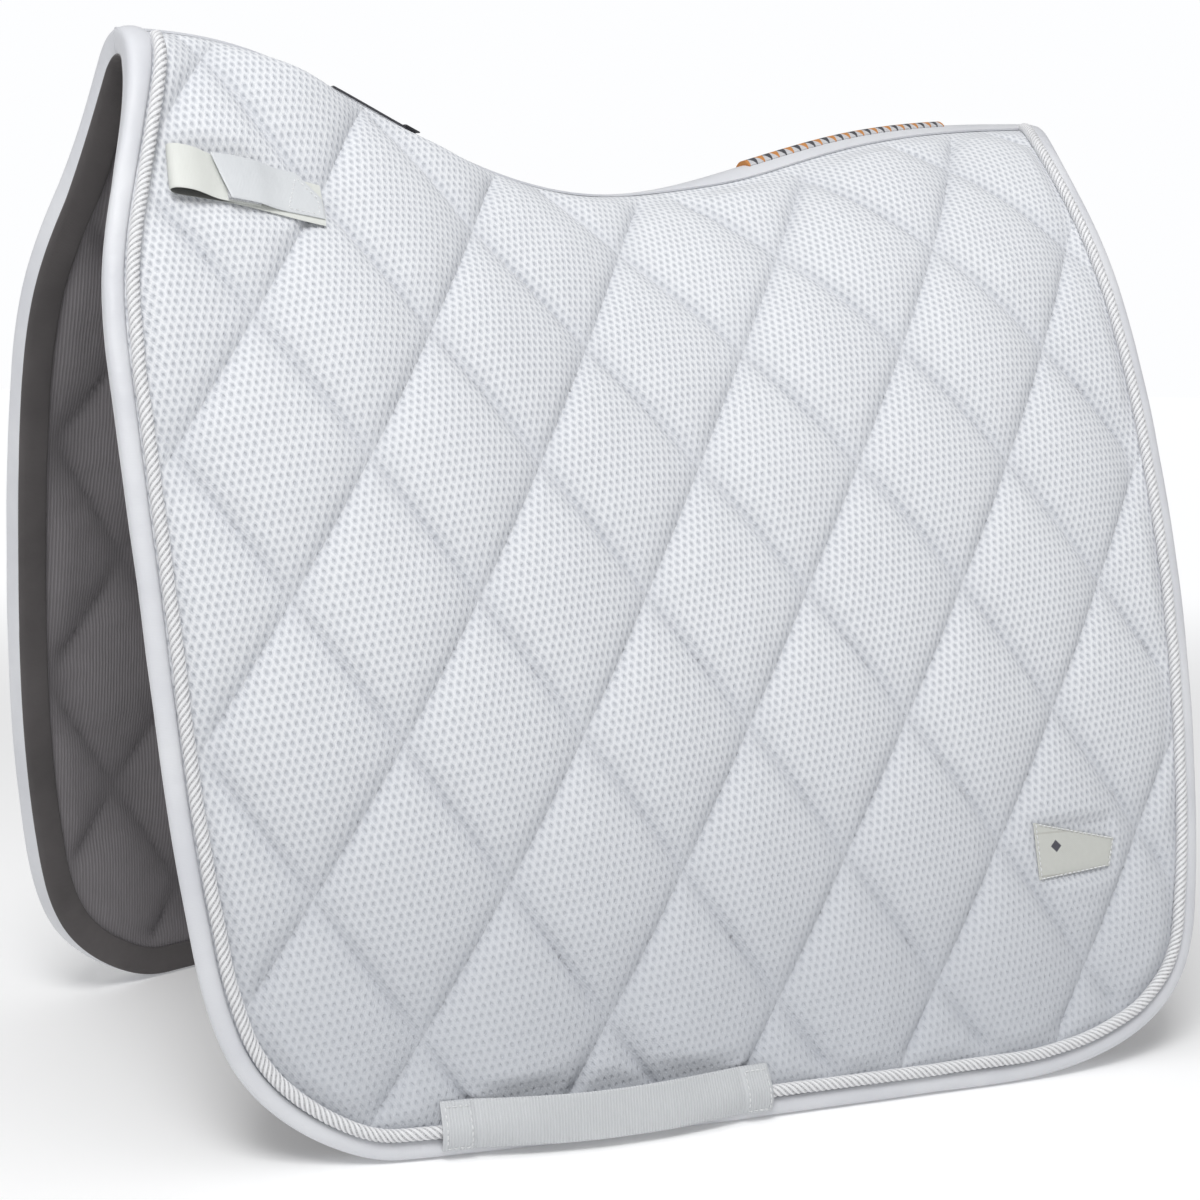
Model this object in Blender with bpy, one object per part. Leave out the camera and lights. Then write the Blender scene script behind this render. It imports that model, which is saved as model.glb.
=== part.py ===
"""Dressage saddle pad, standing open on its two lower hems.

The pad is two quilted sides sewn together along the spine. Each side is a mesh shell, a soft core and a
lining, with a white tape and a piped cord round its front, bottom and rear edges and a dark tape inside.
Every piece is laid on one curved surface, which is described by

    x      distance along the pad from its front, towards the tail
    t      height above the lower hem, measured along the cloth
    depth  distance in from the outer face of the shell, negative outside it

Metres, +Z up, +X towards the tail, the left side at -Y, the origin in the middle of the floor.
"""

from functools import lru_cache

import bmesh
import bpy
import numpy as np
from mathutils import Matrix, Vector

MM = 0.001
SIDES = {"left": -1, "right": 1}

# The curved surface: slopes are the angle of the cloth below horizontal, in radians.
SPAN = 0.707
X_MIDDLE = 0.3729
SPINE_HEIGHTS = ((0, 0.550), (0.177, 0.523), (0.353, 0.474), (0.530, 0.515), (0.707, 0.5375))
SPINE_SLOPE_FRONT = 0.997
LOWER_SLOPE_FRONT = 1.656
LOWER_SLOPE_CHANGE = -0.427
CURL = 0.116
BEND_FRONT = 0.372
BEND_CHANGE = -0.282
BEND_SAG = 0.088
LONGEST_DROP = 0.75
RATE_STEP = 5 * MM
HEM_SQUARE = 0.050

# The edge of one side as (x, t), from the straight hem up to the spine.
HEM_START = 0.150
HEM_END = 0.470
FRONT_EDGE = (
    (HEM_START, 0), (0.113, 0.012), (0.079, 0.044), (0.061, 0.102), (0.052, 0.177),
    (0.047, 0.269), (0.044, 0.363), (0.048, 0.430), (0.061, 0.492), (0.074, 0.568),
)
REAR_EDGE = (
    (HEM_END, 0), (0.532, 0.007), (0.570, 0.022), (0.595, 0.044), (0.611, 0.084),
    (0.622, 0.140), (0.637, 0.255), (0.646, 0.377), (0.653, 0.479), (0.662, 0.550), (0.701, 0.631),
)

# The fold across each side, where the skirt swings.
FOLD_HEIGHT = 0.340
FOLD_GAP = 1.6 * MM
FOLD_AXIS_OUT = 3.0 * MM
FOLD_AXIS_X = (0.060, 0.630)
ROPE_FOLD_GAP = 5.0 * MM

# Layers, as depths of their outer and inner faces.
SHELL = (0.0, 1.2 * MM)
CORE = (1.5 * MM, 9.7 * MM)
LINING = (10.0 * MM, 11.0 * MM)
PANEL_INSET = 1.9 * MM
SEAM_GAP = 0.2 * MM

# Edge tapes, as distances in from the edge and depths.
TAPE = 0.9 * MM
BINDING_WIDTH = 10.8 * MM
BINDING_LIFT = 0.45 * MM
BINDING_INNER_DEPTH = 11.5 * MM
INNER_BINDING_WIDTH = 17 * MM
INNER_BINDING = (11.9 * MM, 12.7 * MM)

# Piped cord.
ROPE_RADIUS = 3.5 * MM
ROPE_INSET = 15.8 * MM
ROPE_LIFT = 0.6 * MM
ROPE_SPINE_GAP = 19 * MM

# Spine tapes and their labels: half widths and depths.
SPINE_TAPE_HALF = 13.5 * MM
SPINE_TAPE = (-1.35 * MM, -0.45 * MM)
SPINE_INNER_HALF = 14 * MM
SPINE_INNER = (11.6 * MM, 12.4 * MM)
SPINE_TAPE_ENDS = (0.021, 0.962)
SPINE_INNER_ENDS = (0.032, 0.945)
FRONT_LABEL_HALF = 4 * MM
REAR_LABEL_HALF = 8 * MM
LABEL = (-2.4 * MM, -1.8 * MM)

# Girth strap: sewn down at both ends, slack between them.
GIRTH_X = (0.168, 0.340)
GIRTH_T = (4 * MM, 12.5 * MM, 18.5 * MM, 27 * MM)
GIRTH_SEWN_OUT = (1.9 * MM, 8.8 * MM, 8.8 * MM, 0.6 * MM)
GIRTH_SLACK_OUT = 15.6 * MM
GIRTH_SEWN_SHARE = 0.09
GIRTH_THICKNESS = 1.1 * MM

# Billet strap: it lies along the side, slightly downhill. Its tapes follow paths of (length from the loop
# end, height of the tape's middle above the shell) and its patches have (start, end, lower and upper face),
# all in millimetres.
BILLET_FRONT = (0.084, 0.4835)
BILLET_DIRECTION = (0.9966, -0.0825)
BILLET_HALF = 12.5 * MM
PATCH_HALF = 12 * MM
TAPE_THIN = 0.8 * MM
LOOP_TAPE_PATH = (
    (44, 0.9), (14, 0.9), (6, 1.0), (1.6, 1.9), (0.4, 3.1), (1.6, 4.3), (6, 5.0), (12, 5.0),
    (18, 4.0), (25, 2.1), (44, 2.1),
)
TAB_PATH = ((24, 5.1), (44, 5.1), (48, 3.6), (51.2, 1.5))
TAB_SLANT = 4 * MM
LOOP_PATCH = (26, 44, 2.8, 3.4)
HOOK_PATCH = (26, 44, 3.7, 4.3)
ANCHOR = (53.4, 76, 0.5, 1.3)
ANCHOR_SLANT = 5 * MM
TAB_HINGE = (52.3, 2.1)

# Side label: its four corners as (x, t).
SIDE_LABEL = ((0.507, 0.105), (0.554, 0.109), (0.507, 0.136), (0.559, 0.124))
SIDE_LABEL_DEPTH = (-1.1 * MM, -0.5 * MM)

# Where each panel is divided, as shares of its length and height.
COLUMNS = (0, 0.03, 0.10, 0.17, 0.25, 0.33, 0.41, 0.50, 0.59, 0.67, 0.75, 0.83, 0.90, 0.97, 1)
FLAP_ROWS = (0, 0.05, 0.10, 0.15, 0.21, 0.29, 0.43, 0.61, 0.80, 1)
YOKE_ROWS = (0, 0.2, 0.4, 0.56, 0.7, 0.82, 0.92, 1)
SPINE_ROW = 2
FRONT_LABEL_COLUMNS = COLUMNS[3:5]
REAR_LABEL_COLUMNS = COLUMNS[8:12]

WHITE_MESH = ("white_mesh", (0.83, 0.85, 0.89), 0.85)
WHITE_TAPE = ("white_tape", (0.88, 0.89, 0.92), 0.55)
CORD_WHITE = ("silver_cord", (0.80, 0.81, 0.83), 0.45)
GREY_CLOTH = ("grey_lining", (0.27, 0.27, 0.28), 0.9)
DARK_TAPE = ("dark_tape", (0.17, 0.165, 0.165), 0.85)
FOAM = ("foam", (0.75, 0.75, 0.72), 0.95)
CREAM = ("cream_label", (0.84, 0.84, 0.80), 0.7)
BLACK = ("dark_label", (0.05, 0.05, 0.055), 0.7)
HOOK_GREY = ("hook_and_loop", (0.78, 0.79, 0.80), 0.95)


def clear_scene():
    for item in list(bpy.data.objects):
        bpy.data.objects.remove(item, do_unlink=True)


def natural_curve(knots, values, start=None):
    """Cubic curve through the values at the knots; start may fix the direction that it leaves in."""
    knots, values = np.asarray(knots, float), np.asarray(values, float)
    count, gap = len(knots), np.diff(knots)
    matrix, wanted = np.eye(count), np.zeros(count)
    rise = np.diff(values) / gap
    for i in range(1, count - 1):
        matrix[i, i - 1:i + 2] = gap[i - 1], 2 * (gap[i - 1] + gap[i]), gap[i]
        wanted[i] = 6 * (rise[i] - rise[i - 1])
    if start is not None:
        matrix[0, :2] = 2 * gap[0], gap[0]
        wanted[0] = 6 * (rise[0] - start)
    bend = np.linalg.solve(matrix, wanted)

    def value(k):
        i = np.clip(np.searchsorted(knots, k) - 1, 0, count - 2)
        back, ahead = knots[i + 1] - k, k - knots[i]
        curved = (bend[i] * back**3 + bend[i + 1] * ahead**3) / (6 * gap[i])
        line = (values[i] / gap[i] - bend[i] * gap[i] / 6) * back
        return curved + line + (values[i + 1] / gap[i] - bend[i + 1] * gap[i] / 6) * ahead

    return value


spine_height = natural_curve(*zip(*SPINE_HEIGHTS))


@lru_cache(maxsize=None)
def section(x):
    """One side's cross-section at x: distance down from the spine, reach, height, slope and full drop."""
    share = x / SPAN
    lower = LOWER_SLOPE_FRONT + LOWER_SLOPE_CHANGE * share
    spine = SPINE_SLOPE_FRONT * (1 - share)
    bend = BEND_FRONT + BEND_CHANGE * share - BEND_SAG * share * (1 - share)
    down = np.linspace(0, LONGEST_DROP, 401)
    slope = lower + CURL * down - (lower - spine) * np.exp(-down / bend)
    step = down[1]
    reach = np.append(0, np.cumsum(np.cos(slope[1:]) + np.cos(slope[:-1])) * step / 2)
    fall = np.append(0, np.cumsum(np.sin(slope[1:]) + np.sin(slope[:-1])) * step / 2)
    height = spine_height(x) - fall
    return down, reach, height, slope, float(np.interp(0, -height, down))


def drop(x):
    return section(x)[4]


def on_surface(x, s):
    """Point and outward normal of the right side's outer face, s below the spine along the cloth."""
    down, reach, height, slope, _ = section(x)
    y, z, angle = (np.interp(s, down, values) for values in (reach, height, slope))
    before, after = section(x - RATE_STEP), section(x + RATE_STEP)
    y_rate = (np.interp(s, down, after[1]) - np.interp(s, down, before[1])) / (2 * RATE_STEP)
    z_rate = (np.interp(s, down, after[2]) - np.interp(s, down, before[2])) / (2 * RATE_STEP)
    normal = Vector((-(y_rate * np.sin(angle) + z_rate * np.cos(angle)), np.sin(angle), np.cos(angle)))
    return Vector((x, y, z)), normal.normalized()


@lru_cache(maxsize=None)
def crease_start(x, depth):
    """How far below the spine a face at this depth has to start, to stay on its own side of the seam."""
    if depth <= 0:
        return 0.0
    for s in np.arange(0, 0.04, 0.1 * MM):
        point, normal = on_surface(x, s)
        if point.y - depth * normal.y >= SEAM_GAP:
            return float(s)
    return 0.04


def place(x, t, depth, side):
    """World position of a point of one side. Close to the hem, depth runs level, so the hem is flat."""
    s = max(drop(x) - t, crease_start(x, max(depth, 0.0)))
    point, normal = on_surface(x, s)
    level = Vector((normal.x, normal.y, 0)) / (normal.x**2 + normal.y**2)
    share = float(min(max(t / HEM_SQUARE, 0), 1))
    share = share * share * (3 - 2 * share)
    spot = point - (share * normal + (1 - share) * level) * float(depth)
    return Vector((spot.x - X_MIDDLE, side * spot.y, spot.z))


def on_seam(x, depth):
    """Point on the centre plane, where the two sides' faces at this depth meet."""
    point, normal = on_surface(x, crease_start(x, depth))
    inward = Vector((normal.x, 0, normal.z))
    if depth <= 0:
        inward /= inward.length_squared
    spot = point - inward * depth
    return Vector((spot.x - X_MIDDLE, 0, spot.z))


def edge_curve(points, direction):
    """Smooth run through an edge's points, which leaves the hem level."""
    points = np.array(points)
    length = np.append(0, np.cumsum(np.hypot(*np.diff(points, axis=0).T)))
    fine = np.linspace(0, length[-1], 400)
    columns = (natural_curve(length, points[:, 0], direction), natural_curve(length, points[:, 1], 0))
    return np.column_stack([[curve(k) for k in fine] for curve in columns])


def whole_edge():
    """The edge of one side from the spine's front end, round the hem, to its rear end."""
    front = edge_curve(FRONT_EDGE, -1)[::-1]
    hem = np.column_stack([np.linspace(HEM_START, HEM_END, 80)[1:-1], np.zeros(78)])
    points = np.vstack([front, hem, edge_curve(REAR_EDGE, 1)])
    return points, np.append(0, np.cumsum(np.hypot(*np.diff(points, axis=0).T)))


EDGE, EDGE_LENGTH = whole_edge()


def edge_at(length, inset=0.0):
    """Point (x, t) at this length round the edge, moved in square to the edge by the inset."""
    near = np.clip([length - 2 * MM, length, length + 2 * MM], 0, EDGE_LENGTH[-1])
    x, t = (np.interp(near, EDGE_LENGTH, EDGE[:, i]) for i in (0, 1))
    run = np.array([x[2] - x[0], t[2] - t[0]])
    run /= np.hypot(*run)
    return np.array([x[1] - inset * run[1], t[1] + inset * run[0]])


def fold_t(x):
    down, _, height, _, full = section(x)
    return full - float(np.interp(-FOLD_HEIGHT, -height, down))


def top_t(x):
    """The highest row that all layers share, a little below the spine."""
    return drop(x) - crease_start(x, LINING[1]) - SPINE_INNER_HALF


def edge_lengths_at(line):
    """The two places round the edge, front and rear, where it crosses a line t(x)."""
    above = np.array([t > line(float(x)) for x, t in EDGE])
    first = np.argmin(above)
    last = len(above) - np.argmin(above[::-1]) - 1
    return EDGE_LENGTH[first], EDGE_LENGTH[last]


FLAP_TOP = edge_lengths_at(lambda x: fold_t(x) - FOLD_GAP)
YOKE_BOTTOM = edge_lengths_at(lambda x: fold_t(x) + FOLD_GAP)
YOKE_TOP = edge_lengths_at(top_t)
HEM_LENGTHS = tuple(EDGE_LENGTH[np.argmin(abs(EDGE[:, 0] - x) + EDGE[:, 1])] for x in (HEM_START, HEM_END))


def panel_point(a, b, part):
    """Point (x, t) of a panel: a runs from front to rear, b from its lower to its upper line."""
    if b == SPINE_ROW:
        front, rear = edge_at(0, PANEL_INSET)[0], edge_at(EDGE_LENGTH[-1], PANEL_INSET)[0]
        x = front + a * (rear - front)
        return x, drop(x)
    if part == "flap":
        low, high, lower, upper = HEM_LENGTHS, FLAP_TOP, None, fold_t
    else:
        low, high, lower, upper = YOKE_BOTTOM, YOKE_TOP, fold_t, top_t
    front = edge_at(low[0] + b * (high[0] - low[0]), PANEL_INSET)
    rear = edge_at(low[1] + b * (high[1] - low[1]), PANEL_INSET)
    x, t = front + a * (rear - front)
    for line, share in ((lower, 1 - b), (upper, b)):
        if line:
            t += share * (line(x) - (1 - a) * line(front[0]) - a * line(rear[0]))
    return x, t


def material(kind):
    name, colour, roughness = kind
    found = bpy.data.materials.get(name)
    if found:
        return found
    made = bpy.data.materials.new(name)
    made.use_nodes = True
    shader = made.node_tree.nodes["Principled BSDF"]
    shader.inputs["Base Color"].default_value = (*colour, 1)
    shader.inputs["Roughness"].default_value = roughness
    shader.inputs["Metallic"].default_value = 0
    made.diffuse_color = (*colour, 1)
    return made


def add_object(name, data, kind, pivot):
    """Put data in the scene; a moving piece hangs on its pivot, an empty on the hinge's axis."""
    item = bpy.data.objects.new(name, data)
    data.materials.append(material(kind))
    PARTS.objects.link(item)
    if pivot:
        data.transform(pivot.matrix_world.inverted())
        item.parent = pivot
    return item


def slab(name, us, vs, spot, kind, pivot=None):
    """Closed sheet: a grid over us and vs whose two faces lie at spot(u, v, 0) and spot(u, v, 1)."""
    mesh = bmesh.new()
    across, up = len(us) - 1, len(vs) - 1
    bmesh.ops.create_grid(mesh, x_segments=across, y_segments=up, size=0.5)
    first = set(mesh.verts)
    bmesh.ops.extrude_face_region(mesh, geom=mesh.faces[:], use_keep_orig=True)
    for vert in mesh.verts:
        i, j = round((vert.co.x + 0.5) * across), round((vert.co.y + 0.5) * up)
        vert.co = spot(us[i], vs[j], 0 if vert in first else 1)
    bmesh.ops.recalc_face_normals(mesh, faces=mesh.faces)
    if mesh.calc_volume(signed=True) < 0:
        bmesh.ops.reverse_faces(mesh, faces=mesh.faces)
    bmesh.ops.triangulate(mesh, faces=mesh.faces, quad_method="SHORT_EDGE")
    data = bpy.data.meshes.new(name)
    mesh.to_mesh(data)
    mesh.free()
    return add_object(name, data, kind, pivot)


def hinge_empty(name, start, end):
    """Empty half way along a hinge's axis, with its own X along the axis."""
    empty = bpy.data.objects.new(name, None)
    empty.empty_display_size = 0.03
    PARTS.objects.link(empty)
    turn = (end - start).to_track_quat("X", "Z").to_matrix().to_4x4()
    empty.matrix_world = Matrix.Translation((start + end) / 2) @ turn
    return empty


def fold_axis(side):
    """Ends of the skirt's hinge axis, just outside the fold at the front and the rear."""
    ends = []
    for x in FOLD_AXIS_X:
        ends.append(place(x, fold_t(x), -FOLD_AXIS_OUT, side))
        ends[-1].z = FOLD_HEIGHT
    return ends


def add_layers(label, side, part, pivot):
    """Mesh shell, soft core and lining of one panel."""
    rows = FLAP_ROWS if part == "flap" else YOKE_ROWS + (SPINE_ROW,)
    layers = (("shell", SHELL, WHITE_MESH), ("core", CORE, FOAM), ("lining", LINING, GREY_CLOTH))
    for layer, depths, kind in layers:

        def spot(a, b, face):
            return place(*panel_point(a, b, part), depths[face], side)

        slab(f"{layer}_{part}_{label}", COLUMNS, rows, spot, kind, pivot)


def edge_runs(label):
    """The stretches of edge that have a tape: name, part, and stations in step with the panels' rows."""
    flap_front = [HEM_LENGTHS[0] + b * (FLAP_TOP[0] - HEM_LENGTHS[0]) for b in reversed(FLAP_ROWS)]
    hem = [HEM_LENGTHS[0] + a * (HEM_LENGTHS[1] - HEM_LENGTHS[0]) for a in COLUMNS[2:-2]]
    flap_rear = [HEM_LENGTHS[1] + b * (FLAP_TOP[1] - HEM_LENGTHS[1]) for b in FLAP_ROWS]
    front = [YOKE_BOTTOM[0] + b * (YOKE_TOP[0] - YOKE_BOTTOM[0]) for b in YOKE_ROWS]
    rear = [YOKE_BOTTOM[1] + b * (YOKE_TOP[1] - YOKE_BOTTOM[1]) for b in YOKE_ROWS]
    return (
        (f"flap_{label}", "flap", flap_front + hem + flap_rear),
        (f"yoke_front_{label}", "yoke", front + [0.0]),
        (f"yoke_rear_{label}", "yoke", rear + [EDGE_LENGTH[-1]]),
    )


def add_edge_tapes(label, side, pivot):
    """White binding round each edge and the dark tape that covers it inside."""
    low, high = -BINDING_LIFT, -BINDING_LIFT - TAPE
    binding = (
        ((BINDING_WIDTH, low), (TAPE, low), (TAPE, BINDING_INNER_DEPTH)),
        ((BINDING_WIDTH, high), (0, high), (0, BINDING_INNER_DEPTH)),
    )

    def binding_spot(length, corner, face):
        inset, depth = binding[face][corner]
        return place(*edge_at(length, inset), depth, side)

    def inner_spot(length, inset, face):
        return place(*edge_at(length, inset), INNER_BINDING[face], side)

    for name, part, stations in edge_runs(label):
        hanger = pivot if part == "flap" else None
        slab(f"binding_{name}", stations, (0, 1, 2), binding_spot, WHITE_TAPE, hanger)
        slab(f"inner_binding_{name}", stations, (0, INNER_BINDING_WIDTH), inner_spot, DARK_TAPE, hanger)


def rope_stations(stations, part):
    """Stations of the cord: in step with the tape's, but short of the fold and of the spine tape."""
    toward = 1 if stations[-1] > stations[0] else -1
    first = stations[0] + toward * ROPE_FOLD_GAP
    last = stations[-1] - toward * (ROPE_FOLD_GAP if part == "flap" else ROPE_SPINE_GAP)
    between = [length for length in stations if toward * first < toward * length < toward * last]
    return [first, *between, last]


def add_rope(label, side, pivot):
    for name, part, stations in edge_runs(label):
        curve = bpy.data.curves.new(f"rope_{name}", "CURVE")
        curve.dimensions = "3D"
        curve.bevel_depth = ROPE_RADIUS
        curve.bevel_resolution = 2
        curve.use_fill_caps = True
        spline = curve.splines.new("POLY")
        spots = rope_stations(stations, part)
        spline.points.add(len(spots) - 1)
        for point, length in zip(spline.points, spots):
            out = -ROPE_RADIUS - ROPE_LIFT
            point.co = (*place(*edge_at(length, ROPE_INSET), out, side), 1)
        add_object(f"rope_{name}", curve, CORD_WHITE, pivot if part == "flap" else None)


def spine_strip(name, columns, half, depths, kind):
    """Tape on the spine seam that lies on both sides, to its half width or else to the panels' top row."""

    def spot(a, v, face):
        x = panel_point(a, SPINE_ROW, "yoke")[0]
        if v == 0:
            return on_seam(x, depths[face])
        row_x, row_t = panel_point(a, 1, "yoke")
        if half is None:
            return place(row_x, row_t, depths[face], v)
        x += (row_x - x) * half / (drop(row_x) - row_t)
        return place(x, drop(x) - half, depths[face], v)

    slab(name, columns, (-1, 0, 1), spot, kind)


def add_spine():
    middle = COLUMNS[2:-2]
    outer, inner = ((ends[0], *middle, ends[1]) for ends in (SPINE_TAPE_ENDS, SPINE_INNER_ENDS))
    spine_strip("spine_tape", outer, SPINE_TAPE_HALF, SPINE_TAPE, WHITE_TAPE)
    spine_strip("spine_tape_inner", inner, None, SPINE_INNER, DARK_TAPE)
    spine_strip("spine_label_front", FRONT_LABEL_COLUMNS, FRONT_LABEL_HALF, LABEL, BLACK)
    spine_strip("spine_label_rear", REAR_LABEL_COLUMNS, REAR_LABEL_HALF, LABEL, CREAM)


def add_girth_strap(label, side, pivot):
    def spot(share, row, face):
        x = GIRTH_X[0] + share * (GIRTH_X[1] - GIRTH_X[0])
        free = (min(share, 1 - share) - GIRTH_SEWN_SHARE) / (0.5 - GIRTH_SEWN_SHARE)
        slack = np.sin(min(max(free, 0), 1) * np.pi / 2)
        out = GIRTH_SEWN_OUT[row] * (1 - slack) + GIRTH_SLACK_OUT * slack
        return place(x, GIRTH_T[row], -out - face * GIRTH_THICKNESS, side)

    shares = (0, GIRTH_SEWN_SHARE, 0.16, 0.23, 0.31, 0.4, 0.5, 0.6, 0.69, 0.77, 0.84, 1 - GIRTH_SEWN_SHARE, 1)
    slab(f"girth_strap_{label}", shares, range(len(GIRTH_T)), spot, WHITE_TAPE, pivot)


def on_billet(along, across, out, side):
    """Point of the billet strap: along it from the loop end, across it upward, and out from the shell."""
    x = BILLET_FRONT[0] + along * BILLET_DIRECTION[0] - across * BILLET_DIRECTION[1]
    t = BILLET_FRONT[1] + along * BILLET_DIRECTION[1] + across * BILLET_DIRECTION[0]
    return place(x, t, -out, side)


def tape_faces(path, thickness):
    """The two faces of a tape whose middle follows a path of (along, out) points."""
    path = np.array(path) * MM
    run = np.gradient(path, axis=0)
    run /= np.hypot(*run.T)[:, None]
    square = np.column_stack([-run[:, 1], run[:, 0]]) * thickness / 2
    return path - square, path + square


def add_billet_strap(label, side):
    """Folded loop tape, hook and loop patches, closing tab on its hinge, and the sewn rear end."""

    def bent_tape(name, path, slant, pivot):
        faces = tape_faces(path, TAPE_THIN)
        start, end = path[0][0] * MM, path[-1][0] * MM

        def spot(i, v, face):
            along, out = faces[face][i]
            if slant:
                along -= slant * v * max(0, (end - along) / (end - start))
            return on_billet(along, v * BILLET_HALF, out, side)

        slab(name, range(len(path)), (-1, 1), spot, WHITE_TAPE, pivot)

    def flat_patch(name, extent, kind, slant=0.0, pivot=None):
        start, end, low, high = (value * MM for value in extent)

        def spot(share, v, face):
            along = start + share * (end - start - slant * max(v, 0))
            return on_billet(along, v * PATCH_HALF, (low, high)[face], side)

        slab(name, (0, 0.5, 1), (-1, 0, 1), spot, kind, pivot)

    axis_out = TAB_HINGE[1] * MM
    ends = [on_billet(TAB_HINGE[0] * MM, v * BILLET_HALF, axis_out, side) for v in (-1, 1)]
    pivot = hinge_empty(f"tab_hinge_{label}", *ends)
    bent_tape(f"billet_loop_{label}", LOOP_TAPE_PATH, 0, None)
    flat_patch(f"loop_patch_{label}", LOOP_PATCH, HOOK_GREY)
    flat_patch(f"billet_anchor_{label}", ANCHOR, WHITE_TAPE, ANCHOR_SLANT)
    bent_tape(f"billet_tab_{label}", TAB_PATH, TAB_SLANT, pivot)
    flat_patch(f"hook_patch_{label}", HOOK_PATCH, HOOK_GREY, 0, pivot)
    return ends


def add_side_label(pivot):
    low_front, low_rear, high_front, high_rear = (np.array(corner) for corner in SIDE_LABEL)

    def spot(a, b, face):
        low = low_front + a * (low_rear - low_front)
        high = high_front + a * (high_rear - high_front)
        return place(*(low + b * (high - low)), SIDE_LABEL_DEPTH[face], SIDES["left"])

    slab("side_label", (0, 0.5, 1), (0, 0.5, 1), spot, CREAM, pivot)


def add_side(label, side):
    pivot = hinge_empty(f"fold_hinge_{label}", *fold_axis(side))
    add_layers(label, side, "yoke", None)
    add_layers(label, side, "flap", pivot)
    add_edge_tapes(label, side, pivot)
    add_rope(label, side, pivot)
    add_girth_strap(label, side, pivot)
    add_billet_strap(label, side)
    if label == "left":
        add_side_label(pivot)


clear_scene()
PARTS = bpy.data.collections.new("saddle_pad")
bpy.context.scene.collection.children.link(PARTS)
add_spine()
for side_name, side_sign in SIDES.items():
    add_side(side_name, side_sign)
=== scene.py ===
"""Looks of the quilted dressage saddle pad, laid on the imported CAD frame.

The pad's curved surface follows the one that the CAD part is laid on within a few millimetres, in the same
terms: x is the distance along the pad from its front, t the height above the lower hem measured along the
cloth, depth the distance in from the outer face of the shell. Metres, +X towards the tail, left side at -Y.
"""

import math

import bpy
import numpy as np
from mathutils import Matrix, Vector


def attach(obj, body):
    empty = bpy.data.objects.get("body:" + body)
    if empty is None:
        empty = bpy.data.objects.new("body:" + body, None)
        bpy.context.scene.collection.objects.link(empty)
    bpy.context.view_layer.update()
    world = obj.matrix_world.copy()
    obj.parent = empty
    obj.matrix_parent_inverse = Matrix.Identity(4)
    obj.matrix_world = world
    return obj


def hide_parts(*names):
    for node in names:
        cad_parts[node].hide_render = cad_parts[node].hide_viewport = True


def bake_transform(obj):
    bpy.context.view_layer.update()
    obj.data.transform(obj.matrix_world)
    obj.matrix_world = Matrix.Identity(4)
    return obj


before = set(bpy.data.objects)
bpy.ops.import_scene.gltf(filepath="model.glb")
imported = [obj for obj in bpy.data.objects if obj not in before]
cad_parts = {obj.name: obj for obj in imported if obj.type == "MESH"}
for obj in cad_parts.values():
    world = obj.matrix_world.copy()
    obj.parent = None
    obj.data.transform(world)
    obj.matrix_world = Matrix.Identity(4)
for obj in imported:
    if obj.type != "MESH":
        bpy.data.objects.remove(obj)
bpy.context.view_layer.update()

MM = 0.001
SIDES = {"left": -1, "right": 1}

# The curved surface of one side: heights of the ridge along x, then the size and steps of its tables.
SPAN = 0.707
X_MIDDLE = 0.3729
SPINE_HEIGHTS = (
    (0, 0.532), (0.070, 0.540), (0.140, 0.5375), (0.200, 0.5177), (0.250, 0.4965), (0.353, 0.474),
    (0.530, 0.515), (0.707, 0.5375),
)
STATION_STEP = 2.5 * MM
STATIONS = np.arange(-8, 292) * STATION_STEP
DOWN = np.linspace(0, 0.75, 401)
HEM_SQUARE = 0.050
SEAM_GAP = 0.2 * MM
DEPTH_STEP = 0.5 * MM

# The edge of one side as (x, t), from the straight hem up to the spine.
HEM_START = 0.150
HEM_END = 0.470
FRONT_EDGE = (
    (HEM_START, 0), (0.113, 0.012), (0.079, 0.044), (0.061, 0.102), (0.052, 0.177),
    (0.047, 0.269), (0.044, 0.363), (0.0475, 0.430), (0.0625, 0.490), (0.0740, 0.540), (0.0755, 0.5705),
)
REAR_EDGE = (
    (HEM_END, 0), (0.532, 0.007), (0.570, 0.022), (0.595, 0.044), (0.611, 0.084),
    (0.622, 0.140), (0.637, 0.255), (0.646, 0.377), (0.653, 0.479), (0.662, 0.550), (0.701, 0.629),
)

# Quilting: the corners of the sewn diamonds are at these steps in x and t from the first corner.
QUILT_CORNER = (0.068, 0.480)
QUILT_STEP = (0.0465, 0.0707)

# The sewn ridge is rounded over, most at the front, where the two sides are steepest.
RIDGE_RADIUS = 0.028
RIDGE_REACH = (0.025, 0.090)

# The layers: depths of their faces, and how far the quilting lifts a face and draws it in at a seam.
CLOTH_INSET = 1.9 * MM
SHELL_BACK = 5.2 * MM
LINING_BACK = 5.6 * MM
LINING_FACE = 10.6 * MM
SHELL_PILLOW = 4.8 * MM
SHELL_SEAM = 4.0 * MM
LINING_PILLOW = 2.6 * MM
LINING_SEAM = 3.6 * MM

# Edge trim: the binding, and the cord of twisted strands that lies beside it.
BINDING_WIDTH = 9.2 * MM
WITHERS_FLARE = 5 * MM
CORD_INSET = 12.9 * MM
CORD_LAY = 17 * MM
CORD_STRANDS = 5
STRAND_RADIUS = 1.3 * MM
STRAND_CENTRE = 1.95 * MM

# The billet strap's loop end, the way it runs, and the half widths of its tape and patches.
BILLET_FRONT = (0.084, 0.4835)
BILLET_DIRECTION = (0.9966, -0.0825)
BILLET_HALF = 12.5 * MM
PATCH_HALF = 12 * MM

# The girth strap's ends along x, and the side label's corners: lower front and rear, upper front and rear.
GIRTH_X = (0.168, 0.336)
SIDE_LABEL = ((0.507, 0.105), (0.554, 0.109), (0.507, 0.136), (0.559, 0.124))

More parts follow.
